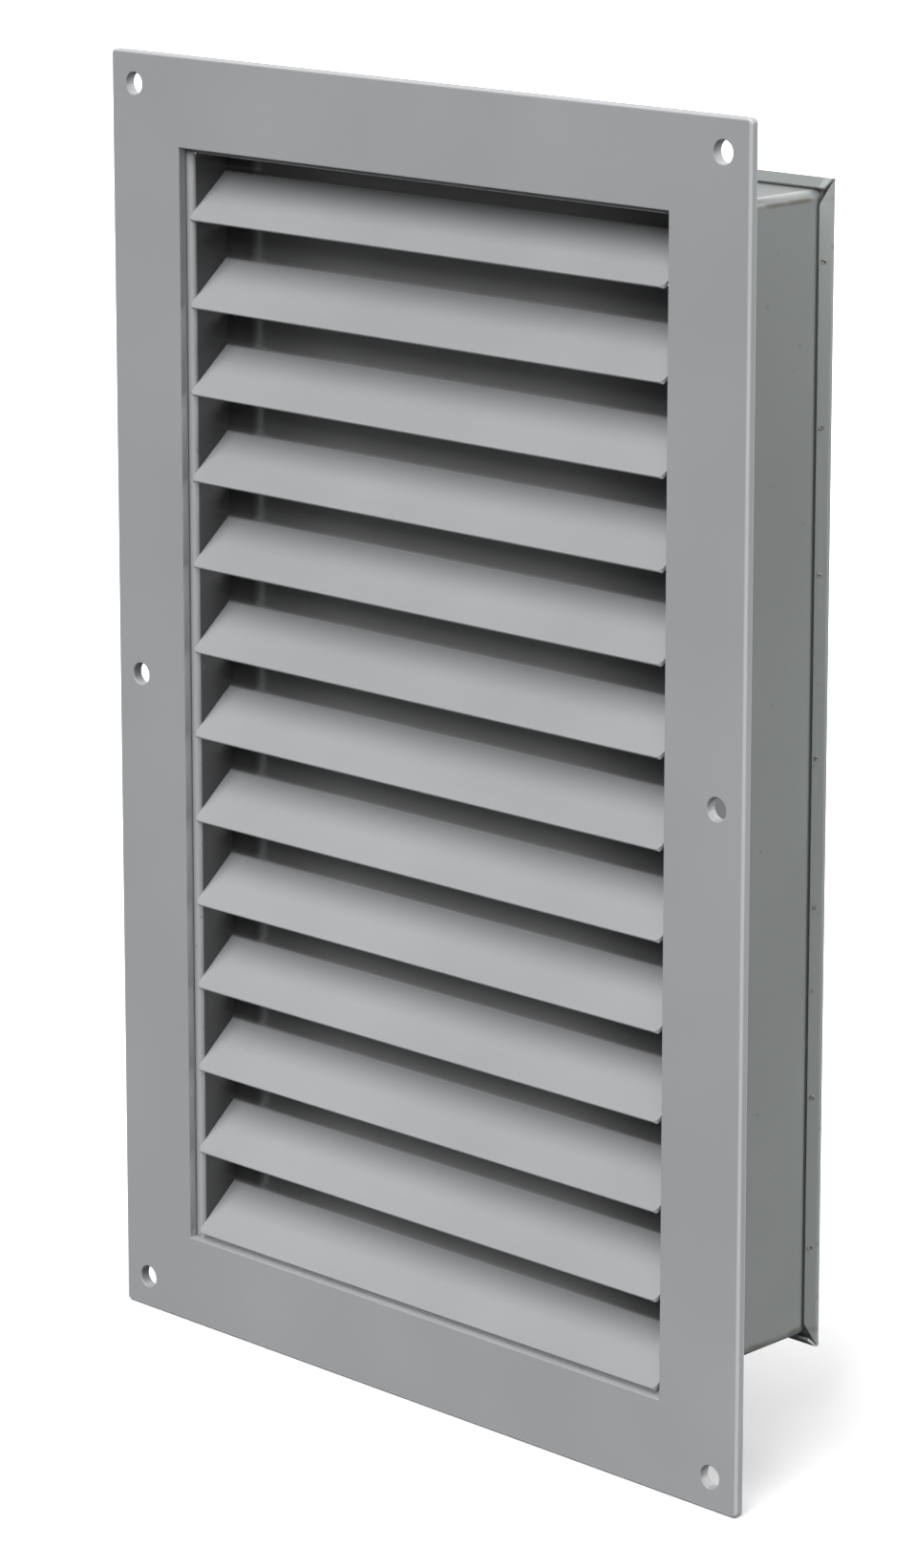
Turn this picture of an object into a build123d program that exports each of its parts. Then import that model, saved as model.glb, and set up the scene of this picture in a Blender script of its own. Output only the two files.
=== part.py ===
"""Return air grille: a steel face plate, a folded duct sleeve behind it and thirteen fixed blades.

Millimetres. The origin is the centre of the face plate's back, where it meets the wall.
+Z is up, -Y is the room side and +Y runs back into the duct.
"""
import os
from math import cos, radians, sin, tan

from build123d import *

# Face plate
plate_width = 320.0
plate_height = 500.0
plate_thickness = 4.0
plate_corner_radius = 2.0
plate_edge_radius = 1.0
side_border = 37.0
end_border = 35.0
opening_edge_radius = 0.5
opening_back_radius = 0.9

# Screw holes: one at each corner and one a little above the middle of each side
hole_diameter = 8.5
hole_inset = 12.5
side_hole_rise = 8.0
hole_edge_break = 0.3

# Duct sleeve, folded from one sheet: its walls stand a lip inside the plate's opening
sleeve_sheet = 1.0
sleeve_depth = 83.7
side_lip = 3.2
end_lip = 2.0
sleeve_corner_radius = 3.5
front_bend_radius = 0.5
front_flange_width = 14.0
corner_relief = 0.3
mitre_gap = 0.15

# Open hem along the sleeve's back edge: it stands out and its strip slopes back to the wall
hem_height = 4.2
hem_bend_radius = 0.6
hem_slope = 42.0
hem_gap = 0.35

# The hems meet at each corner on a steep line that leans outwards, with the ends' hems above it
hem_corner_reach = 2.7
hem_corner_lean = 0.38
hem_corner_gap = 0.27

# Blades
blade_count = 13
blade_sheet = 1.2
blade_slope = 40.0
blade_run = 20.5
blade_upstand = 13.0
blade_bend_radius = 5.0
blade_tip_setback = 1.7
blade_corner_radius = 2.0
blade_edge_radius = 0.5

# The first blade's upstand is trimmed under the sleeve's top and the last blade's tip is at its bottom
first_blade_upstand = 7.6
head_clearance = 0.4
sill_clearance = 0.1

# Sizes that follow from the ones above
opening_width = plate_width - 2 * side_border
opening_height = plate_height - 2 * end_border
inner_half_width = opening_width / 2 - side_lip
inner_half_height = opening_height / 2 - end_lip
outer_half_width = inner_half_width + sleeve_sheet
outer_half_height = inner_half_height + sleeve_sheet
front_bend_outer = front_bend_radius + sleeve_sheet
hem_bend_outer = hem_bend_radius + sleeve_sheet
hem_root = sleeve_depth - hem_bend_outer
blade_tip_y = -plate_thickness + blade_tip_setback
blade_rise = blade_run * tan(radians(blade_slope))
first_tip_z = inner_half_height - head_clearance - first_blade_upstand - blade_rise
last_tip_z = sill_clearance - inner_half_height
blade_pitch = (first_tip_z - last_tip_z) / (blade_count - 1)
far = 2 * plate_height

os.makedirs("parts", exist_ok=True)


def make_face_plate():
    """Flat plate with a rectangular opening, rounded edges and six screw holes."""
    hole_x = plate_width / 2 - hole_inset
    hole_z = plate_height / 2 - hole_inset
    hole_places = [(x, z) for x in (-hole_x, hole_x) for z in (-hole_z, side_hole_rise, hole_z)]
    outline = RectangleRounded(plate_width, plate_height, plate_corner_radius)
    outline -= Rectangle(opening_width, opening_height)
    outline -= Locations(*hole_places) * Circle(hole_diameter / 2)
    plate = extrude(Plane.XZ * outline, plate_thickness)
    faces = plate.faces().sort_by(Axis.Y)
    plate = fillet(faces[0].outer_wire().edges() + faces[-1].outer_wire().edges(), plate_edge_radius)
    for side, radius in ((0, opening_edge_radius), (-1, opening_back_radius)):
        face = plate.faces().sort_by(Axis.Y)[side]
        opening = max(face.inner_wires(), key=lambda wire: wire.length)
        plate = fillet(opening.edges(), radius)
    front = plate.faces().sort_by(Axis.Y)[0]
    rims = [edge for wire in front.inner_wires() for edge in wire.edges()]
    return chamfer([edge for edge in rims if edge.geom_type == GeomType.CIRCLE], hole_edge_break)


def trimmed(strip, half_height, half_length, lean):
    """Cuts a strip's two ends: half_length at the wall's outer face, and longer by lean for each mm above it."""
    reach = front_flange_width + hem_height
    low = half_length - lean * reach
    high = half_length + lean * reach
    outline = Polyline((-low, half_height - reach), (low, half_height - reach),
                       (high, half_height + reach), (-high, half_height + reach), close=True)
    return strip & extrude(Plane.XZ * make_face(outline), far, both=True)


def make_flange(half_span, half_height):
    """Front flange of one side and its bend, drawn along the middle of the sheet and mitred at 45 degrees."""
    bend = front_bend_radius + sleeve_sheet / 2
    flange = Line((sleeve_sheet / 2, half_height + front_flange_width),
                  (sleeve_sheet / 2, half_height + front_bend_radius))
    turn = JernArc(flange @ 1, flange % 1, bend, 90)
    strip = extrude(Plane.YZ * trace([flange, turn], sleeve_sheet), far / 2, both=True)
    return trimmed(strip, half_height, half_span - mitre_gap, 1.0)


def make_hem(half_height, half_length, lean, stand_half_length):
    """Back hem of one side: a bend out of the wall, a short stand, a sharp fold and the sloping strip.

    The whole section is cut to half_length and lean. The bend and the stand also reach stand_half_length.
    """
    middle = half_height - sleeve_sheet / 2
    bend = hem_bend_radius + sleeve_sheet / 2
    slope = radians(hem_slope)
    root = Line((hem_root - sleeve_sheet, middle), (hem_root, middle))
    out = JernArc(root @ 1, root % 1, bend, 90)
    stand = PolarLine(out @ 1, hem_height - 2 * bend, direction=out % 1)
    fold = JernArc(stand @ 1, stand % 1, bend, 90 + hem_slope)
    edge_height = half_height + hem_gap + cos(slope) * sleeve_sheet / 2
    strip = PolarLine(fold @ 1, ((fold @ 1).Y - edge_height) / sin(slope), direction=fold % 1)
    section = Plane.YZ * trace([root, out, stand, fold, strip], sleeve_sheet)
    hem = trimmed(extrude(section, far / 2, both=True), half_height, half_length, lean)
    return hem + extrude(Plane.YZ * trace([root, out, stand], sleeve_sheet), stand_half_length, both=True)


def make_wall(half_span, half_height):
    """Flat wall of one side, between the two rounded corners."""
    size = (2 * (half_span - sleeve_corner_radius), hem_root - front_bend_outer, sleeve_sheet)
    return Pos(0, (hem_root + front_bend_outer) / 2, half_height - sleeve_sheet / 2) * Box(*size)


def make_sleeve():
    """Rectangular tube with rounded corners, a flange at the front and a hem at the back.

    Each side is built as the sleeve's top. The ends are the top and bottom, and the sides are turned into place.
    """
    tube = RectangleRounded(2 * outer_half_width, 2 * outer_half_height, sleeve_corner_radius)
    tube -= RectangleRounded(2 * inner_half_width, 2 * inner_half_height, sleeve_corner_radius - sleeve_sheet)
    corner_depth = hem_root - front_bend_outer - 2 * corner_relief
    corners = extrude(Plane.XZ.offset(-front_bend_outer - corner_relief) * tube, -corner_depth)
    end_hem_half = outer_half_width + hem_corner_reach - hem_corner_gap
    side_hem_half = outer_half_height - (hem_corner_reach + hem_corner_gap) / hem_corner_lean
    end_hem = make_hem(outer_half_height, end_hem_half, hem_corner_lean, outer_half_width)
    # Below the wall's outer face the ends' hems stop at the sides' outer faces
    end_hem -= Pos(outer_half_width + far / 2, 0, outer_half_height - far / 2) * Box(far, far, far)
    end_hem -= Pos(-outer_half_width - far / 2, 0, outer_half_height - far / 2) * Box(far, far, far)
    end = make_flange(outer_half_width, outer_half_height) + make_wall(outer_half_width, outer_half_height)
    end += end_hem
    # The sides' stands close the corners under the ends' hems
    side_stand_half = outer_half_height - hem_corner_gap
    side = make_flange(outer_half_height, outer_half_width) + make_wall(outer_half_height, outer_half_width)
    side += make_hem(outer_half_width, side_hem_half, 1 / hem_corner_lean, side_stand_half)
    return corners + [Rot(0, turn, 0) * end for turn in (0, 180)] + [Rot(0, turn, 0) * side for turn in (90, 270)]


def make_blade(index):
    """Folded blade: a slope that rises from its tip and an upstand behind a rounded bend."""
    tip_z = first_tip_z - index * blade_pitch
    bend_z = tip_z + blade_rise
    top_z = bend_z + (first_blade_upstand if index == 0 else blade_upstand)
    bend_y = blade_tip_y + blade_run
    corners = [(blade_tip_y, tip_z), (bend_y, bend_z), (bend_y, top_z)]
    section = Plane.YZ * trace(FilletPolyline(*corners, radius=blade_bend_radius), blade_sheet)
    section = fillet(section.vertices().sort_by(Axis.Y)[:2], blade_edge_radius)
    blade = extrude(section, inner_half_width, both=True)
    # The tip's corners are rounded in plan and the upstand's in elevation
    plan = RectangleRounded(2 * inner_half_width, far, blade_corner_radius)
    plan = Pos(0, section.bounding_box().min.Y + far / 2) * plan
    elevation = RectangleRounded(2 * inner_half_width, far, sleeve_corner_radius)
    elevation = Plane.XZ * Pos(0, top_z - far / 2) * elevation
    return blade & extrude(plan, far, both=True) & extrude(elevation, far, both=True)


export_step(make_face_plate(), "parts/face_plate.step")
export_step(make_sleeve(), "parts/duct_sleeve.step")
for number in range(blade_count):
    export_step(make_blade(number), f"parts/blade_{number + 1:02d}.step")
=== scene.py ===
import math

import bpy
from bpy.props import FloatProperty, FloatVectorProperty, PointerProperty
from bpy.types import Operator, Panel, PropertyGroup
from mathutils import Matrix, Vector


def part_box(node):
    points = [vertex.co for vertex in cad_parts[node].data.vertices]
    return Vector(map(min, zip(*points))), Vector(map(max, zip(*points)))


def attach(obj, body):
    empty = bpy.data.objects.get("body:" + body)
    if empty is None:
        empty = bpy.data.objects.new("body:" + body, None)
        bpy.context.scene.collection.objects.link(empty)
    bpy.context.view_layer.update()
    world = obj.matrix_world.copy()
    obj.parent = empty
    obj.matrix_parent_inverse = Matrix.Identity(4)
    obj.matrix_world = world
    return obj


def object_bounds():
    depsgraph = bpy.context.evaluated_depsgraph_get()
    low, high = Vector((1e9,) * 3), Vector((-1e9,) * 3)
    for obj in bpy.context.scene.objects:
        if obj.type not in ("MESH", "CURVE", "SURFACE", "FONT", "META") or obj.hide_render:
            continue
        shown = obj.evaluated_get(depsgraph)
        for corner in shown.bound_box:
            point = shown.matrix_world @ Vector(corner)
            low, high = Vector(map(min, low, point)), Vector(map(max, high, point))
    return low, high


bl_info = {
    "name": "Return Air Grille",
    "version": (1, 0, 0),
    "blender": (4, 5, 0),
    "location": "View3D > Sidebar > Grille",
    "description": "Paints the grille, adds the spot welds of its hem and lights a studio",
    "category": "Object",
}

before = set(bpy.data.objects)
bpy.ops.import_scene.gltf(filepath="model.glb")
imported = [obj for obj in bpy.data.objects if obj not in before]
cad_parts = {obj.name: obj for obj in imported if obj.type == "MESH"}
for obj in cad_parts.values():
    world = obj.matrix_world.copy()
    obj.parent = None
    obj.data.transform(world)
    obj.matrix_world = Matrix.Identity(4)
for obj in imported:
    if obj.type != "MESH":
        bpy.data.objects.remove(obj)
cad_low, cad_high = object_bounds()

BLADES = sorted(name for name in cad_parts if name.startswith("blade_"))
blade_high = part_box(BLADES[1])[1]
sleeve_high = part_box("duct_sleeve")[1]

# Sheet thicknesses of the CAD pieces
BLADE_SHEET = 0.0012
SLEEVE_SHEET = 0.0010

# Places on the CAD pieces: the blades end at the sleeve's side walls, and its flange has one width all round
UPSTAND_FRONT = blade_high.y - BLADE_SHEET
SIDE_INSIDE = blade_high.x
SIDE_OUTSIDE = SIDE_INSIDE + SLEEVE_SHEET
FLANGE_WIDTH = sleeve_high.x - SIDE_OUTSIDE
END_OUTSIDE = sleeve_high.z - FLANGE_WIDTH
END_INSIDE = END_OUTSIDE - SLEEVE_SHEET
SLEEVE_BACK = sleeve_high.y
PLATE_MIDDLE = 0.5 * cad_low.y

# Width of a crisp change from one finish to another
CRISP = 0.0004

# Heights of the spot welds along the side hems, from the top
WELD_HEIGHTS = (0.1885, 0.1284, 0.0746, 0.0066, -0.0491, -0.1214, -0.1793)

# Corners of a mark's circle, and the angle up to which its faces are shaded smooth
WELD_CORNERS = 14
WELD_SMOOTH_ANGLE = math.radians(35.0)

# A level ray from outside finds the hem's strip at a height that is clear of the corners
RAY_START = 0.5
RAY_HEIGHT = 0.05

LIGHTS = ("key", "side", "rim", "back", "fill")
LIGHT_DISTANCE = 2.0
FLOOR_DROP = 0.0002
SENSOR_WIDTH = 36.0


class PaintSettings(PropertyGroup):
    """Colours and surface of the grille's paint."""
    plate_colour: FloatVectorProperty(
        name="Plate colour", description="Paint on the face plate", subtype="COLOR", size=3,
        min=0.0, max=1.0, default=(0.345, 0.350, 0.360))
    blade_colour: FloatVectorProperty(
        name="Blade colour", description="Paint on the blades", subtype="COLOR", size=3,
        min=0.0, max=1.0, default=(0.313, 0.317, 0.326))
    # The upstands' bare sheet: its metal gloss gives real reflections, and its weaker diffuse part is
    # painted shade on the shaded upstand fronts
    sheet_and_shade_colour: FloatVectorProperty(
        name="Sheet colour", description="Bright sheet metal that shows through on the upstands",
        subtype="COLOR", size=3, min=0.0, max=1.0, default=(0.44, 0.445, 0.45))
    # Painted shade: the dark colour inside the sleeve stands in for the shade there
    inside_shade_colour: FloatVectorProperty(
        name="Inside colour", description="Dark primer inside the sleeve, where the spray hardly reaches",
        subtype="COLOR", size=3, min=0.0, max=1.0, default=(0.074, 0.075, 0.076))
    sleeve_colour: FloatVectorProperty(
        name="Sleeve colour", description="Thinner, slightly green paint on the duct sleeve",
        subtype="COLOR", size=3, min=0.0, max=1.0, default=(0.240, 0.256, 0.248))
    stain_colour: FloatVectorProperty(
        name="Stain colour", description="Brown stain along the sleeve's folded corners",
        subtype="COLOR", size=3, min=0.0, max=1.0, default=(0.105, 0.088, 0.066))
    plate_roughness: FloatProperty(
        name="Plate roughness", description="Gloss of the face plate, lower is shinier", subtype="FACTOR",
        min=0.0, max=1.0, default=0.38)
    blade_roughness: FloatProperty(
        name="Blade roughness", description="Gloss of the blades, lower is shinier", subtype="FACTOR",
        min=0.0, max=1.0, default=0.48)
    sleeve_roughness: FloatProperty(
        name="Sleeve roughness", description="Gloss of the sleeve, lower is shinier", subtype="FACTOR",
        min=0.0, max=1.0, default=0.335)
    weld_roughness: FloatProperty(
        name="Weld roughness", description="Gloss of the spot welds, lower is shinier", subtype="FACTOR",
        min=0.0, max=1.0, default=0.34)
    drift_size: FloatProperty(
        name="Drift size", description="Width of the clouds in the paint's shade", unit="LENGTH",
        min=0.005, max=1.0, default=0.11)
    shade_spread: FloatProperty(
        name="Shade spread", description="How far the paint's shade drifts either way", subtype="FACTOR",
        min=0.0, max=0.5, default=0.045)
    speck_size: FloatProperty(
        name="Speck size", description="Width of the fine specks in the paint", unit="LENGTH",
        min=0.0002, max=0.01, default=0.0009)
    speck_shade: FloatProperty(
        name="Speck shade", description="Shade of a speck against the paint", min=0.0, max=2.0, default=0.72)
    speck_share: FloatProperty(
        name="Speck share", description="How strongly the specks show", subtype="FACTOR",
        min=0.0, max=1.0, default=0.22)
    gloss_size: FloatProperty(
        name="Gloss size", description="Width of the shinier and duller patches", unit="LENGTH",
        min=0.005, max=1.0, default=0.045)
    gloss_gain: FloatProperty(
        name="Gloss gain", description="How far the roughness falls in shinier patches", subtype="FACTOR",
        min=0.0, max=0.2, default=0.04)
    gloss_loss: FloatProperty(
        name="Gloss loss", description="How far the roughness rises in duller patches", subtype="FACTOR",
        min=0.0, max=0.2, default=0.05)
    peel_size: FloatProperty(
        name="Peel size", description="Width of the sprayed paint's orange peel", unit="LENGTH",
        min=0.0002, max=0.01, default=0.0016)
    peel_depth: FloatProperty(
        name="Peel depth", description="Depth of the sprayed paint's orange peel", unit="LENGTH",
        min=0.0, max=0.001, default=0.00002)
    peel_strength: FloatProperty(
        name="Peel strength", description="How strongly the orange peel shows", subtype="FACTOR",
        min=0.0, max=1.0, default=0.55)


class WearAndLightSettings(PropertyGroup):
    """Painted highlights, light and shade, and where the paint is stained or chipped."""
    # Painted highlight: the face plate's rounded edges are painted lighter, where light catches them
    edge_width: FloatProperty(
        name="Edge width", description="Width of the rubbed edge round the face plate", unit="LENGTH",
        min=0.0, max=0.01, default=0.0012)
    highlight_fade: FloatProperty(
        name="Edge fade", description="Width over which the rubbing starts", unit="LENGTH",
        min=0.0001, max=0.01, default=0.0006)
    highlight_flat: FloatProperty(
        name="Edge flat", description="Half the thickness of the plate's edge that stays unrubbed",
        unit="LENGTH", min=0.0, max=0.002, default=0.0009)
    highlight_rounding: FloatProperty(
        name="Edge rounding", description="Depth over which the rubbing grows", unit="LENGTH",
        min=0.0001, max=0.002, default=0.0005)
    highlight_shade: FloatProperty(
        name="Rubbed shade", description="Shade of a rubbed edge against the paint",
        min=0.0, max=3.0, default=1.55)
    highlight_share: FloatProperty(
        name="Rubbed share", description="How strongly the rubbed edges show", subtype="FACTOR",
        min=0.0, max=1.0, default=0.8)
    line_size: FloatProperty(
        name="Line size", description="Width of the drawing lines along the blades", unit="LENGTH",
        min=0.0005, max=0.05, default=0.0035)
    line_squeeze: FloatProperty(
        name="Line squeeze", description="Width of a drawing line as a share of its length",
        subtype="FACTOR", min=0.001, max=1.0, default=0.02)
    line_shade: FloatProperty(
        name="Line shade", description="Shade of a drawing line against the paint",
        min=0.0, max=2.0, default=0.85)
    line_share: FloatProperty(
        name="Line share", description="How strongly the drawing lines show", subtype="FACTOR",
        min=0.0, max=1.0, default=0.10)
    # Where the upstand fronts turn to bare sheet, whose weaker diffuse colour is painted shade
    bare_shade_lead: FloatProperty(
        name="Bare lead", description="How far in front of the upstand's face the paint starts to thin",
        unit="LENGTH", min=0.0, max=0.01, default=0.0013)
    bare_shade_fade: FloatProperty(
        name="Bare fade", description="Depth over which the paint thins", unit="LENGTH",
        min=0.0001, max=0.01, default=0.0011)
    bare_metal: FloatProperty(
        name="Bare metal", description="How metallic the thinly painted upstands are", subtype="FACTOR",
        min=0.0, max=1.0, default=0.62)
    bare_gloss: FloatProperty(
        name="Bare gloss", description="Roughness of the upstands as a share of the paint's",
        subtype="FACTOR", min=0.0, max=1.0, default=0.22)
    # Painted shade: the upstands' sheet is painted darker towards its ends and beside the sleeve's walls
    slow_shade_start: FloatProperty(
        name="Dim start", description="Distance from the middle where the upstands start to darken",
        unit="LENGTH", min=0.0, max=0.1, default=0.050)
    slow_shade_width: FloatProperty(
        name="Dim width", description="Distance over which they slowly darken", unit="LENGTH",
        min=0.0001, max=0.1, default=0.052)
    slow_shade_share: FloatProperty(
        name="Dim share", description="Share of the darkening that is slow", subtype="FACTOR",
        min=0.0, max=1.0, default=0.62)
    wall_shade_width: FloatProperty(
        name="Dark width", description="Width of the dark ends beside the sleeve's walls", unit="LENGTH",
        min=0.0, max=0.1, default=0.0168)
    wall_shade_fade: FloatProperty(
        name="Dark fade", description="Width of the dark ends' edge", unit="LENGTH",
        min=0.0001, max=0.1, default=0.0045)
    wall_shade_factor: FloatProperty(
        name="Dark shade", description="Shade of the dark ends against the sheet",
        min=0.0, max=1.0, default=0.26)
    # Painted light: the side hems' strips are painted lighter than the rest of the sleeve
    hem_light_depth: FloatProperty(
        name="Hem depth", description="Reach of the lighter hem strips from the sleeve's back",
        unit="LENGTH", min=0.0, max=0.05, default=0.0065)
    hem_light_fade: FloatProperty(
        name="Hem fade", description="Width of the strips' front edge", unit="LENGTH",
        min=0.0001, max=0.01, default=0.0006)
    hem_light_lift: FloatProperty(
        name="Hem lift", description="Height above the wall where the strips' shade starts", unit="LENGTH",
        min=0.0, max=0.005, default=0.0002)
    hem_light_gain: FloatProperty(
        name="Hem shade", description="Shade of the side hems' strips against the sleeve",
        min=0.0, max=3.0, default=1.38)
    stain_inset: FloatProperty(
        name="Stain inset", description="Distance of the stains from the sleeve's top and bottom",
        unit="LENGTH", min=0.0, max=0.05, default=0.0030)
    stain_reach: FloatProperty(
        name="Stain reach", description="Distance over which a stain fades either way", unit="LENGTH",
        min=0.0001, max=0.05, default=0.0017)
    stain_size: FloatProperty(
        name="Stain size", description="Length of the breaks in the stains", unit="LENGTH",
        min=0.001, max=0.1, default=0.016)
    stain_low: FloatProperty(
        name="Stain low", description="How strongly the stains show where they are faint",
        subtype="FACTOR", min=0.0, max=1.0, default=0.1125)
    stain_high: FloatProperty(
        name="Stain high", description="How strongly the stains show where they are dark",
        subtype="FACTOR", min=0.0, max=1.0, default=0.75)
    # Painted shade: where the dark colour on the sleeve's inner walls starts and fades
    inside_shade_bite: FloatProperty(
        name="Primer bite", description="How far into the sheet's thickness the primer's colour is full",
        unit="LENGTH", min=0.0, max=0.001, default=0.0003)
    inside_shade_start: FloatProperty(
        name="Primer start", description="Depth where the primer starts behind the lip", unit="LENGTH",
        min=0.0, max=0.05, default=0.0014)
    inside_shade_rise: FloatProperty(
        name="Primer rise", description="Depth over which the primer comes in", unit="LENGTH",
        min=0.0001, max=0.05, default=0.0008)
    inside_shade_end: FloatProperty(
        name="Primer end", description="Depth where the primer starts to fade", unit="LENGTH",
        min=0.0, max=0.1, default=0.030)
    inside_shade_fall: FloatProperty(
        name="Primer fall", description="Depth over which the primer fades", unit="LENGTH",
        min=0.0001, max=0.1, default=0.035)
    lip_depth: FloatProperty(
        name="Lip depth", description="Depth of the sleeve's lip that has the plate's paint", unit="LENGTH",
        min=0.0, max=0.01, default=0.0013)
    lip_fade: FloatProperty(
        name="Lip fade", description="Depth over which the plate's paint ends", unit="LENGTH",
        min=0.0001, max=0.01, default=0.0005)
    lip_shade: FloatProperty(
        name="Lip shade", description="Shade of the lip against the plate", min=0.0, max=3.0, default=1.1)
    chip_size: FloatProperty(
        name="Chip size", description="Spacing of the pinprick chips in the sleeve's paint", unit="LENGTH",
        min=0.0005, max=0.05, default=0.0031)
    chip_shade: FloatProperty(
        name="Chip shade", description="Shade of a chip against the paint", min=0.0, max=2.0, default=0.55)
    chip_share: FloatProperty(
        name="Chip share", description="How strongly the chips show", subtype="FACTOR",
        min=0.0, max=1.0, default=0.4)
    burn_size: FloatProperty(
        name="Burn size", description="Width of the burnt patches on the spot welds", unit="LENGTH",
        min=0.0002, max=0.01, default=0.0011)
    weld_shade: FloatProperty(
        name="Weld shade", description="Shade of an unburnt weld against the sleeve",
        min=0.0, max=3.0, default=1.5)


class WeldSettings(PropertyGroup):
    """Size and place of the spot welds on the side hems."""
    radius: FloatProperty(
        name="Radius", description="Radius of one mark", unit="LENGTH",
        min=0.0002, max=0.003, default=0.00095)
    height: FloatProperty(
        name="Height", description="Height of a mark's rim above the hem", unit="LENGTH",
        min=0.00002, max=0.001, default=0.00034)
    setback: FloatProperty(
        name="Setback", description="Distance of the marks in front of the sleeve's back edge",
        unit="LENGTH", min=0.0, max=0.02, default=0.0044)
    hem_slope: FloatProperty(
        name="Hem slope", description="Slope of the hem's strip against the sleeve's side", unit="ROTATION",
        min=0.0, max=1.57, default=math.radians(42.0))


class StudioSettings(PropertyGroup):
    """Floor, light and camera."""
    floor_colour: FloatVectorProperty(
        name="Floor colour", description="Pale studio floor", subtype="COLOR", size=3,
        min=0.0, max=1.0, default=(0.90, 0.90, 0.90))
    floor_size: FloatProperty(
        name="Floor size", description="Length of the floor's sides", unit="LENGTH",
        min=2.0, max=200.0, default=60.0)
    floor_roughness: FloatProperty(
        name="Floor roughness", description="Gloss of the floor, lower is shinier", subtype="FACTOR",
        min=0.0, max=1.0, default=0.9)
    paper_size: FloatProperty(
        name="Paper size", description="Width of the clouds in the floor's shade", unit="LENGTH",
        min=0.01, max=5.0, default=0.4)
    paper_spread: FloatProperty(
        name="Paper spread", description="How far the floor's shade drifts either way", subtype="FACTOR",
        min=0.0, max=0.1, default=0.005)
    floor_glow: FloatProperty(
        name="Floor glow", description="Light that the floor gives off, as a light table does",
        min=0.0, max=5.0, default=0.13)
    far_glow: FloatProperty(
        name="Far glow", description="Light that the floor gives off well behind the object",
        min=0.0, max=5.0, default=0.75)
    glow_start: FloatProperty(
        name="Glow start", description="Distance behind the wall plane where the glow starts to grow",
        unit="LENGTH", min=0.0, max=5.0, default=0.06)
    glow_end: FloatProperty(
        name="Glow end", description="Distance behind the wall plane where the glow is full",
        unit="LENGTH", min=0.0, max=5.0, default=0.29)
    sky_strength: FloatProperty(
        name="Sky strength", description="Even light from all round", min=0.0, max=10.0, default=0.04)
    key_strength: FloatProperty(
        name="Key strength", description="Large soft light above the front", min=0.0, max=50.0, default=3.95)
    key_width: FloatProperty(
        name="Key width", description="Angle that the key light fills", unit="ROTATION",
        min=0.0, max=3.14, default=math.radians(50.0))
    key_direction: FloatVectorProperty(
        name="Key direction", description="From the object towards the key light", subtype="XYZ", size=3,
        default=(0.0, -0.685, 0.729))
    side_strength: FloatProperty(
        name="Side strength", description="Soft light on the right", min=0.0, max=50.0, default=2.7)
    side_width: FloatProperty(
        name="Side width", description="Angle that the side light fills", unit="ROTATION",
        min=0.0, max=3.14, default=math.radians(46.0))
    side_direction: FloatVectorProperty(
        name="Side direction", description="From the object towards the side light", subtype="XYZ", size=3,
        default=(0.78, 0.42, 0.46))
    rim_strength: FloatProperty(
        name="Rim strength", description="Low light behind the left", min=0.0, max=50.0, default=0.35)
    rim_width: FloatProperty(
        name="Rim width", description="Angle that the rim light fills", unit="ROTATION",
        min=0.0, max=3.14, default=math.radians(50.0))
    rim_direction: FloatVectorProperty(
        name="Rim direction", description="From the object towards the rim light", subtype="XYZ", size=3,
        default=(-0.66, 0.69, 0.30))
    back_strength: FloatProperty(
        name="Back strength", description="Soft light behind the object", min=0.0, max=50.0, default=1.1)
    back_width: FloatProperty(
        name="Back width", description="Angle that the back light fills", unit="ROTATION",
        min=0.0, max=3.14, default=math.radians(50.0))
    back_direction: FloatVectorProperty(
        name="Back direction", description="From the object towards the back light", subtype="XYZ", size=3,
        default=(-0.15, 0.86, 0.49))
    fill_strength: FloatProperty(
        name="Fill strength", description="Small light beside the camera", min=0.0, max=50.0, default=0.45)
    fill_width: FloatProperty(
        name="Fill width", description="Angle that the fill light fills", unit="ROTATION",
        min=0.0, max=3.14, default=math.radians(24.0))
    fill_direction: FloatVectorProperty(
        name="Fill direction", description="From the object towards the fill light", subtype="XYZ", size=3,
        default=(0.76, -0.62, 0.20))
    camera_place: FloatVectorProperty(
        name="Camera place", description="Where the camera stands", subtype="TRANSLATION", size=3,
        default=(1.24167, -1.26754, 0.45102))
    camera_turn: FloatProperty(
        name="Camera turn", description="Turn of the view from straight on", unit="ROTATION",
        default=math.radians(43.971))
    camera_dip: FloatProperty(
        name="Camera dip", description="How far the view looks down", unit="ROTATION",
        default=math.radians(10.957))
    camera_lens: FloatProperty(
        name="Lens", description="Focal length in millimetres on the long side", unit="CAMERA",
        min=10.0, max=500.0, default=114.02)
    camera_shift: FloatProperty(
        name="Lens shift", description="Upright shift of the lens", min=-0.5, max=0.5, default=-0.20)


def deselect_all():
    """Clears the selection, because operators act on all that is selected."""
    if bpy.context.mode != "OBJECT":
        bpy.ops.object.mode_set(mode="OBJECT")
    bpy.ops.object.select_all(action="DESELECT")


def shaded(colour, factor=1.0):
    """A lighter or darker shade of a colour, with full alpha."""
    return (*(min(1.0, channel * factor) for channel in colour), 1.0)


def add_node(tree, kind, **inputs):
    """Adds a shader node and sets its unlinked inputs by name, with spaces written as underscores."""
    node = tree.nodes.new(kind)
    for name, value in inputs.items():
        node.inputs[name.replace("_", " ")].default_value = value
    return node


def feed(tree, slot, value):
    """Gives an input a value, which is another node's socket or a constant."""
    if isinstance(value, bpy.types.NodeSocket):
        tree.links.new(value, slot)
    else:
        slot.default_value = value


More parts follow.
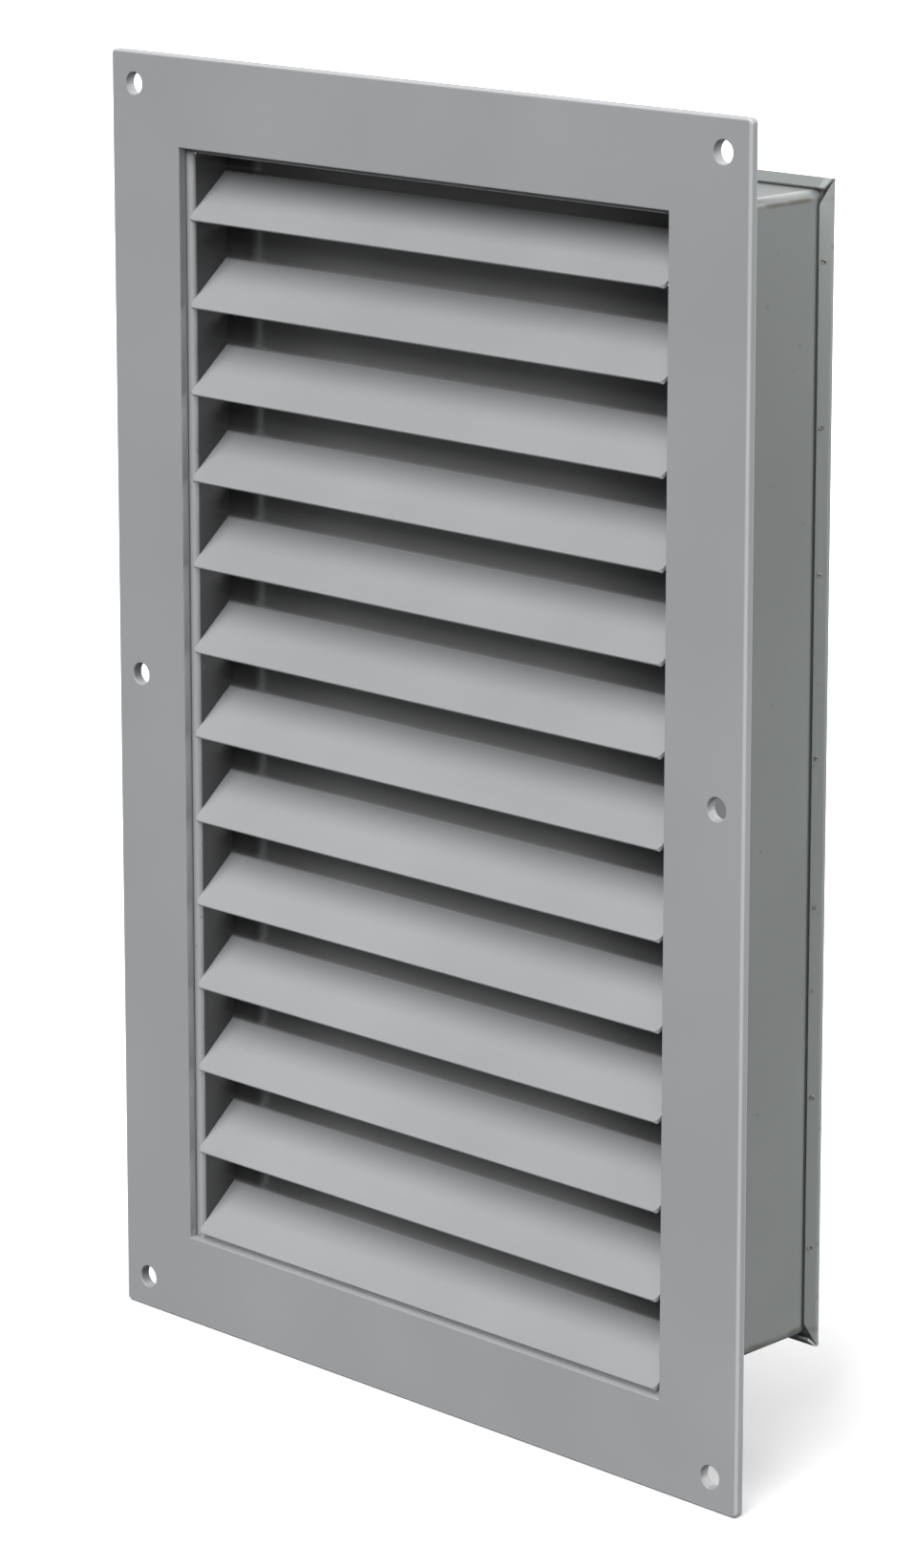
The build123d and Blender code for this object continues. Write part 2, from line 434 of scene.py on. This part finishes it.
def add_math(tree, operation, *values):
    """A Math node on one or two values, each a socket or a number."""
    node = tree.nodes.new("ShaderNodeMath")
    node.operation = operation
    for slot, value in zip(node.inputs, values):
        feed(tree, slot, value)
    return node.outputs["Value"]


def add_mix(tree, factor, first, second):
    """Mixes two colours, each a socket or a constant, by a factor socket."""
    node = tree.nodes.new("ShaderNodeMix")
    node.data_type = "RGBA"
    tree.links.new(factor, node.inputs["Factor"])
    colours = {slot.name: slot for slot in node.inputs if slot.type == "RGBA"}
    feed(tree, colours["A"], first)
    feed(tree, colours["B"], second)
    return next(slot for slot in node.outputs if slot.type == "RGBA")


def add_range(tree, value, start, end, low, high, smooth=False):
    """Maps a value between start and end to low and high, clamped."""
    node = add_node(tree, "ShaderNodeMapRange", From_Min=start, From_Max=end, To_Min=low, To_Max=high)
    node.interpolation_type = "SMOOTHSTEP" if smooth else "LINEAR"
    tree.links.new(value, node.inputs["Value"])
    return node.outputs["Result"]


def add_rise(tree, value, start, width, most=1.0, smooth=False):
    """Nothing up to start, growing to most over the width behind it."""
    return add_range(tree, value, start, start + width, 0.0, most, smooth)


def add_fall(tree, value, start, width, smooth=False):
    """One up to start, falling to nothing over the width behind it."""
    return add_range(tree, value, start, start + width, 1.0, 0.0, smooth)


def add_distance(tree, value, centre):
    """How far a value is from a centre, on either side."""
    return add_math(tree, "ABSOLUTE", add_math(tree, "SUBTRACT", value, centre))


def add_noise(tree, coordinates, size, detail):
    """Noise whose blotches are about size metres wide. Returns its factor."""
    node = add_node(tree, "ShaderNodeTexNoise", Scale=1.0 / size, Detail=detail, Roughness=0.55)
    tree.links.new(coordinates, node.inputs["Vector"])
    return node.outputs["Fac"]


def add_blotches(tree, coordinates, size, detail, span, low=0.0, high=1.0, smooth=False):
    """Noise whose values in a span are spread over low to high, clamped."""
    noise = add_noise(tree, coordinates, size, detail)
    return add_range(tree, noise, span[0], span[1], low, high, smooth)


def new_material(name):
    """A node material with its shader and the object's own coordinates."""
    material = bpy.data.materials.new(name)
    material.use_nodes = True
    tree = material.node_tree
    shader = tree.nodes["Principled BSDF"]
    coordinates = tree.nodes.new("ShaderNodeTexCoord").outputs["Object"]
    return material, tree, shader, coordinates


def add_places(tree, coordinates):
    """A point's distance across from the middle, its depth and its upright distance from the middle."""
    split = tree.nodes.new("ShaderNodeSeparateXYZ")
    tree.links.new(coordinates, split.inputs["Vector"])
    across = add_math(tree, "ABSOLUTE", split.outputs["X"])
    height = add_math(tree, "ABSOLUTE", split.outputs["Z"])
    return across, split.outputs["Y"], height


def add_paint(tree, coordinates, colour, paint):
    """Sprayed paint whose shade drifts slowly and has fine specks. Returns the colour."""
    drift = add_blotches(tree, coordinates, paint.drift_size, detail=2.0, span=(0.25, 0.75), smooth=True)
    pale = shaded(colour, 1.0 + paint.shade_spread)
    cloud = add_mix(tree, drift, shaded(colour, 1.0 - paint.shade_spread), pale)
    specks = add_blotches(tree, coordinates, paint.speck_size, detail=3.0, span=(0.62, 0.74),
                          high=paint.speck_share)
    return add_mix(tree, specks, cloud, shaded(colour, paint.speck_shade))


def add_surface(tree, shader, coordinates, roughness, paint, polish=None):
    """Roughness that drifts with the spray, times the polish if there is one, and an orange peel bump."""
    gloss = add_blotches(tree, coordinates, paint.gloss_size, detail=3.0, span=(0.25, 0.75),
                         low=roughness - paint.gloss_gain, high=roughness + paint.gloss_loss, smooth=True)
    if polish is not None:
        gloss = add_math(tree, "MULTIPLY", gloss, polish)
    tree.links.new(gloss, shader.inputs["Roughness"])
    bump = add_node(tree, "ShaderNodeBump", Strength=paint.peel_strength, Distance=paint.peel_depth)
    tree.links.new(add_noise(tree, coordinates, paint.peel_size, detail=2.0), bump.inputs["Height"])
    tree.links.new(bump.outputs["Normal"], shader.inputs["Normal"])


def plate_material(paint, wear_and_light):
    """Satin grey paint of the face plate, with a painted highlight along its rounded edges."""
    material, tree, shader, coordinates = new_material("plate_satin_paint")
    colour = add_paint(tree, coordinates, paint.plate_colour, paint)
    across, depth, height = add_places(tree, coordinates)
    # Painted highlight: lighter paint on the front and back roundings of the plate's outer edges
    sides = add_rise(tree, across, cad_high.x - wear_and_light.edge_width, wear_and_light.highlight_fade)
    ends = add_rise(tree, height, cad_high.z - wear_and_light.edge_width, wear_and_light.highlight_fade)
    edges = add_math(tree, "MAXIMUM", sides, ends)
    off_middle = add_distance(tree, depth, PLATE_MIDDLE)
    rounding = add_rise(tree, off_middle, wear_and_light.highlight_flat, wear_and_light.highlight_rounding, most=wear_and_light.highlight_share)
    painted_highlight = add_math(tree, "MULTIPLY", edges, rounding)
    colour = add_mix(tree, painted_highlight, colour, shaded(paint.plate_colour, wear_and_light.highlight_shade))
    tree.links.new(colour, shader.inputs["Base Color"])
    add_surface(tree, shader, coordinates, paint.plate_roughness, paint)
    return material


def blade_material(paint, wear_and_light):
    """Grey paint of the blades with faint drawing lines, and bare sheet metal with painted shade on the
    fronts of the upstands, darkest towards their ends.
    """
    material, tree, shader, coordinates = new_material("blade_semigloss_paint")
    colour = add_paint(tree, coordinates, paint.blade_colour, paint)
    stretch = add_node(tree, "ShaderNodeMapping", Scale=(wear_and_light.line_squeeze, 1.0, 1.0))
    tree.links.new(coordinates, stretch.inputs["Vector"])
    lines = add_blotches(tree, stretch.outputs["Vector"], wear_and_light.line_size, detail=3.0, span=(0.45, 0.75),
                         high=wear_and_light.line_share)
    colour = add_mix(tree, lines, colour, shaded(paint.blade_colour, wear_and_light.line_shade))
    # Bare, glossy sheet metal on the fronts of the upstands: its gloss gives real reflections, and its
    # weaker diffuse part is painted shade on these shaded faces
    across, depth, _ = add_places(tree, coordinates)
    front = add_rise(tree, depth, UPSTAND_FRONT - wear_and_light.bare_shade_lead, wear_and_light.bare_shade_fade, smooth=True)
    back = add_fall(tree, depth, UPSTAND_FRONT + CRISP, CRISP)
    bare_and_shade = add_math(tree, "MULTIPLY", front, back)
    # Painted shade: the sheet darkens slowly towards the ends, and more quickly beside the sleeve's walls
    slow_shade = add_rise(tree, across, wear_and_light.slow_shade_start, wear_and_light.slow_shade_width, most=wear_and_light.slow_shade_share, smooth=True)
    wall_shade = add_rise(tree, across, SIDE_INSIDE - wear_and_light.wall_shade_width, wear_and_light.wall_shade_fade, most=1.0 - wear_and_light.slow_shade_share,
                    smooth=True)
    sheet_with_shade = add_mix(tree, add_math(tree, "ADD", slow_shade, wall_shade), shaded(paint.sheet_and_shade_colour),
                    shaded(paint.sheet_and_shade_colour, wear_and_light.wall_shade_factor))
    tree.links.new(add_mix(tree, bare_and_shade, colour, sheet_with_shade), shader.inputs["Base Color"])
    metal = add_range(tree, bare_and_shade, 0.0, 1.0, 0.0, wear_and_light.bare_metal)
    tree.links.new(metal, shader.inputs["Metallic"])
    polish = add_range(tree, bare_and_shade, 0.0, 1.0, 1.0, wear_and_light.bare_gloss)
    add_surface(tree, shader, coordinates, paint.blade_roughness, paint, polish)
    return material


def sleeve_material(paint, wear_and_light):
    """Thin grey-green paint of the sleeve, with brown stains, painted light on the side hems and painted
    shade inside.
    """
    material, tree, shader, coordinates = new_material("sleeve_thin_paint")
    colour = add_paint(tree, coordinates, paint.sleeve_colour, paint)
    across, depth, height = add_places(tree, coordinates)
    # Painted light: the side hems' strips are painted lighter
    lifted = add_rise(tree, across, SIDE_OUTSIDE + wear_and_light.hem_light_lift, CRISP)
    rear = add_rise(tree, depth, SLEEVE_BACK - wear_and_light.hem_light_depth, wear_and_light.hem_light_fade)
    hem_light = add_math(tree, "MULTIPLY", lifted, rear)
    colour = add_mix(tree, hem_light, colour, shaded(paint.sleeve_colour, wear_and_light.hem_light_gain))
    # The stains are just below the top bends and just above the bottom ones
    off_stain = add_distance(tree, height, END_OUTSIDE - wear_and_light.stain_inset)
    stripe = add_fall(tree, off_stain, 0.0, wear_and_light.stain_reach, smooth=True)
    breaks = add_blotches(tree, coordinates, wear_and_light.stain_size, detail=3.0, span=(0.42, 0.62),
                          low=wear_and_light.stain_low, high=wear_and_light.stain_high, smooth=True)
    stains = add_math(tree, "MULTIPLY", stripe, breaks)
    colour = add_mix(tree, stains, colour, shaded(paint.stain_colour))
    # Painted shade: a dark colour on the walls' inner faces starts behind the lip and fades out towards the
    # back
    in_sides = add_fall(tree, across, SIDE_INSIDE + wear_and_light.inside_shade_bite, CRISP)
    in_ends = add_fall(tree, height, END_INSIDE + wear_and_light.inside_shade_bite, CRISP)
    start = add_rise(tree, depth, wear_and_light.inside_shade_start, wear_and_light.inside_shade_rise, smooth=True)
    end = add_fall(tree, depth, wear_and_light.inside_shade_end, wear_and_light.inside_shade_fall, smooth=True)
    inner_faces = add_math(tree, "MULTIPLY", in_sides, in_ends)
    inside_shade = add_math(tree, "MULTIPLY", inner_faces, add_math(tree, "MULTIPLY", start, end))
    colour = add_mix(tree, inside_shade, colour, shaded(paint.inside_shade_colour))
    # The lip in the plate's opening is sprayed with the plate
    lip = add_fall(tree, depth, wear_and_light.lip_depth, wear_and_light.lip_fade)
    colour = add_mix(tree, lip, colour, shaded(paint.plate_colour, wear_and_light.lip_shade))
    # A few pinprick chips in the paint
    chips = add_blotches(tree, coordinates, wear_and_light.chip_size, detail=0.0, span=(0.80, 0.84),
                         high=wear_and_light.chip_share, smooth=True)
    colour = add_mix(tree, chips, colour, shaded(paint.sleeve_colour, wear_and_light.chip_shade))
    tree.links.new(colour, shader.inputs["Base Color"])
    add_surface(tree, shader, coordinates, paint.sleeve_roughness, paint)
    return material


def weld_material(paint, wear_and_light):
    """Thin paint over a spot weld, with brown burnt patches."""
    material, tree, shader, coordinates = new_material("spot_weld_burn")
    burns = add_blotches(tree, coordinates, wear_and_light.burn_size, detail=2.0, span=(0.43, 0.58))
    pale = shaded(paint.sleeve_colour, wear_and_light.weld_shade)
    tree.links.new(add_mix(tree, burns, pale, shaded(paint.stain_colour)), shader.inputs["Base Color"])
    add_surface(tree, shader, coordinates, paint.weld_roughness, paint)
    return material


def paper_material(studio):
    """Pale paper of the floor, which glows more behind the object so that the shadow fades out there."""
    material, tree, shader, coordinates = new_material("studio_floor_paper")
    tone = add_blotches(tree, coordinates, studio.paper_size, detail=2.0, span=(0.3, 0.7))
    paper = add_mix(tree, tone, shaded(studio.floor_colour, 1.0 - studio.paper_spread),
                    shaded(studio.floor_colour, 1.0 + studio.paper_spread))
    tree.links.new(paper, shader.inputs["Base Color"])
    shader.inputs["Roughness"].default_value = studio.floor_roughness
    shader.inputs["Specular IOR Level"].default_value = 0.0
    shader.inputs["Emission Color"].default_value = shaded(studio.floor_colour)
    _, behind, _ = add_places(tree, coordinates)
    glow = add_range(tree, behind, studio.glow_start, studio.glow_end, studio.floor_glow, studio.far_glow,
                     smooth=True)
    tree.links.new(glow, shader.inputs["Emission Strength"])
    return material


def give_material(names, material):
    """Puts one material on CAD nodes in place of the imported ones."""
    for name in names:
        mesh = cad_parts[name].data
        mesh.materials.clear()
        mesh.materials.append(material)


def hem_surface_x(side, y):
    """Where a level ray from outside meets the hem's strip on one side of the sleeve."""
    start = Vector((side * RAY_START, y, RAY_HEIGHT))
    hit, place, _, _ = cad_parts["duct_sleeve"].ray_cast(start, Vector((-side, 0.0, 0.0)))
    if not hit:
        raise RuntimeError("no hem found on the sleeve's side")
    return place.x


class GRILLE_OT_paint_face_plate(Operator):
    """Paint the face plate"""
    bl_idname = "grille.paint_face_plate"
    bl_label = "Paint Face Plate"

    def execute(self, context):
        """Gives the face plate its satin paint."""
        scene = context.scene
        give_material(["face_plate"], plate_material(scene.grille_paint, scene.grille_wear))
        return {"FINISHED"}


class GRILLE_OT_paint_blades(Operator):
    """Paint the blades"""
    bl_idname = "grille.paint_blades"
    bl_label = "Paint Blades"

    def execute(self, context):
        """Gives all the blades one paint."""
        scene = context.scene
        give_material(BLADES, blade_material(scene.grille_paint, scene.grille_wear))
        return {"FINISHED"}


class GRILLE_OT_paint_duct_sleeve(Operator):
    """Paint the duct sleeve"""
    bl_idname = "grille.paint_duct_sleeve"
    bl_label = "Paint Duct Sleeve"

    def execute(self, context):
        """Gives the sleeve its thin paint."""
        scene = context.scene
        give_material(["duct_sleeve"], sleeve_material(scene.grille_paint, scene.grille_wear))
        return {"FINISHED"}


class GRILLE_OT_add_spot_welds(Operator):
    """Add the spot welds along the two side hems"""
    bl_idname = "grille.add_spot_welds"
    bl_label = "Add Spot Welds"

    def make_mark(self, weld):
        """One mark, standing on the origin and facing +Z: a low ring round a shallow pit."""
        sink = 0.3 * weld.height
        shoulder = 0.5 * weld.height
        pit_depth = 0.6 * weld.height
        slope_width = 0.25 * weld.radius
        ring_width = 0.20 * weld.radius
        pit_wall = 0.22 * weld.radius
        bpy.ops.mesh.primitive_circle_add(vertices=WELD_CORNERS, radius=weld.radius, fill_type="NGON",
                                          location=(0, 0, -sink))
        bpy.ops.object.transform_apply(location=True, rotation=False, scale=False)
        bpy.ops.object.mode_set(mode="EDIT")
        bpy.ops.mesh.select_all(action="SELECT")
        bpy.ops.mesh.extrude_region_move(TRANSFORM_OT_translate={"value": (0, 0, sink + shoulder)})
        bpy.ops.mesh.inset(thickness=slope_width)
        bpy.ops.transform.translate(value=(0, 0, weld.height - shoulder))
        bpy.ops.mesh.inset(thickness=ring_width)
        bpy.ops.mesh.inset(thickness=pit_wall)
        bpy.ops.transform.translate(value=(0, 0, -pit_depth))
        bpy.ops.mesh.select_all(action="SELECT")
        bpy.ops.mesh.normals_make_consistent(inside=False)
        bpy.ops.object.mode_set(mode="OBJECT")
        return bpy.context.object

    def make_row(self, context, weld, side):
        """One side's marks on the slope of its hem, joined into one piece."""
        deselect_all()
        pattern = self.make_mark(weld)
        normal = Vector((side * math.cos(weld.hem_slope), -math.sin(weld.hem_slope), 0.0))
        turn = normal.to_track_quat("Z", "Y").to_matrix().to_4x4()
        y = SLEEVE_BACK - weld.setback
        x = hem_surface_x(side, y)
        marks = []
        for height in WELD_HEIGHTS:
            mark = pattern.copy()
            mark.data = pattern.data.copy()
            context.collection.objects.link(mark)
            mark.data.transform(Matrix.Translation(Vector((x, y, height))) @ turn)
            marks.append(mark)
        bpy.data.objects.remove(pattern)
        deselect_all()
        for mark in marks:
            mark.select_set(True)
        context.view_layer.objects.active = marks[0]
        bpy.ops.object.join()
        return context.object

    def execute(self, context):
        """Adds one row of marks to each side hem."""
        scene = context.scene
        material = weld_material(scene.grille_paint, scene.grille_wear)
        for side, name in ((1, "spot_welds_right"), (-1, "spot_welds_left")):
            piece = self.make_row(context, scene.grille_welds, side)
            piece.name = name
            piece.data.name = name
            piece.data.materials.clear()
            piece.data.materials.append(material)
            bpy.ops.object.shade_smooth_by_angle(angle=WELD_SMOOTH_ANGLE)
            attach(piece, "root")
        return {"FINISHED"}


class GRILLE_OT_build_studio(Operator):
    """Build the floor, the soft light and the camera"""
    bl_idname = "grille.build_studio"
    bl_label = "Build Studio"

    def execute(self, context):
        """Adds the floor, the light and the camera."""
        studio = context.scene.grille_studio
        deselect_all()
        self.add_floor(studio)
        self.add_light(context.scene, studio)
        self.add_camera(context.scene, studio)
        return {"FINISHED"}

    def add_floor(self, studio):
        """Pale floor just under the grille."""
        under = (0.0, 0.0, cad_low.z - FLOOR_DROP)
        bpy.ops.mesh.primitive_plane_add(size=studio.floor_size, location=under)
        floor = bpy.context.object
        floor.name = "studio_floor"
        floor.data.materials.append(paper_material(studio))
        # Hidden from diffuse and glossy rays, the floor takes the shadow but throws no light back
        floor.visible_diffuse = False
        floor.visible_glossy = False

    def add_light(self, scene, studio):
        """Dim even sky and the wide suns, shown without a film curve."""
        world = bpy.data.worlds.new("studio_sky")
        world.use_nodes = True
        sky = world.node_tree.nodes["Background"]
        sky.inputs["Color"].default_value = (1.0, 1.0, 1.0, 1.0)
        sky.inputs["Strength"].default_value = studio.sky_strength
        scene.world = world
        for part in LIGHTS:
            direction = Vector(getattr(studio, part + "_direction"))
            aim = direction.to_track_quat("Z", "Y").to_euler()
            bpy.ops.object.light_add(type="SUN", location=LIGHT_DISTANCE * direction, rotation=aim)
            light = bpy.context.object
            light.name = "soft_" + part
            light.data.energy = getattr(studio, part + "_strength")
            light.data.angle = getattr(studio, part + "_width")
        scene.view_settings.view_transform = "Standard"

    def add_camera(self, scene, studio):
        """Camera with a shifted lens, turned to the left and a little down."""
        level = math.cos(studio.camera_dip)
        aim = Vector((-math.sin(studio.camera_turn) * level, math.cos(studio.camera_turn) * level,
                      -math.sin(studio.camera_dip)))
        turn = aim.to_track_quat("-Z", "Y").to_euler()
        bpy.ops.object.camera_add(location=studio.camera_place, rotation=turn)
        camera = bpy.context.object
        camera.name = "photo_camera"
        camera.data.sensor_width = SENSOR_WIDTH
        camera.data.lens = studio.camera_lens
        camera.data.shift_y = studio.camera_shift
        scene.camera = camera


class VIEW3D_PT_return_air_grille(Panel):
    """Lists the grille's operators and settings"""
    bl_label = "Return Air Grille"
    bl_space_type = "VIEW_3D"
    bl_region_type = "UI"
    bl_category = "Grille"

    def draw(self, context):
        """Draws a button for each operator and a box for each group of settings."""
        for operator in OPERATORS:
            self.layout.operator(operator.bl_idname)
        for name in SETTINGS:
            settings = getattr(context.scene, name)
            box = self.layout.box()
            for setting in settings.__annotations__:
                box.prop(settings, setting)


SETTINGS = {
    "grille_paint": PaintSettings,
    "grille_wear": WearAndLightSettings,
    "grille_welds": WeldSettings,
    "grille_studio": StudioSettings,
}
OPERATORS = (GRILLE_OT_paint_face_plate, GRILLE_OT_paint_blades, GRILLE_OT_paint_duct_sleeve,
             GRILLE_OT_add_spot_welds, GRILLE_OT_build_studio)
CLASSES = (*SETTINGS.values(), *OPERATORS, VIEW3D_PT_return_air_grille)


def register():
    """Registers the classes and puts the settings on the scene."""
    for item in CLASSES:
        bpy.utils.register_class(item)
    for name, group in SETTINGS.items():
        setattr(bpy.types.Scene, name, PointerProperty(type=group))


def unregister():
    """Takes the settings off the scene and unregisters the classes."""
    for name in SETTINGS:
        delattr(bpy.types.Scene, name)
    for item in reversed(CLASSES):
        bpy.utils.unregister_class(item)


def main():
    """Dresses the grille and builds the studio."""
    register()
    bpy.ops.grille.paint_face_plate()
    bpy.ops.grille.paint_blades()
    bpy.ops.grille.paint_duct_sleeve()
    bpy.ops.grille.add_spot_welds()
    bpy.ops.grille.build_studio()


if __name__ == "__main__":
    main()
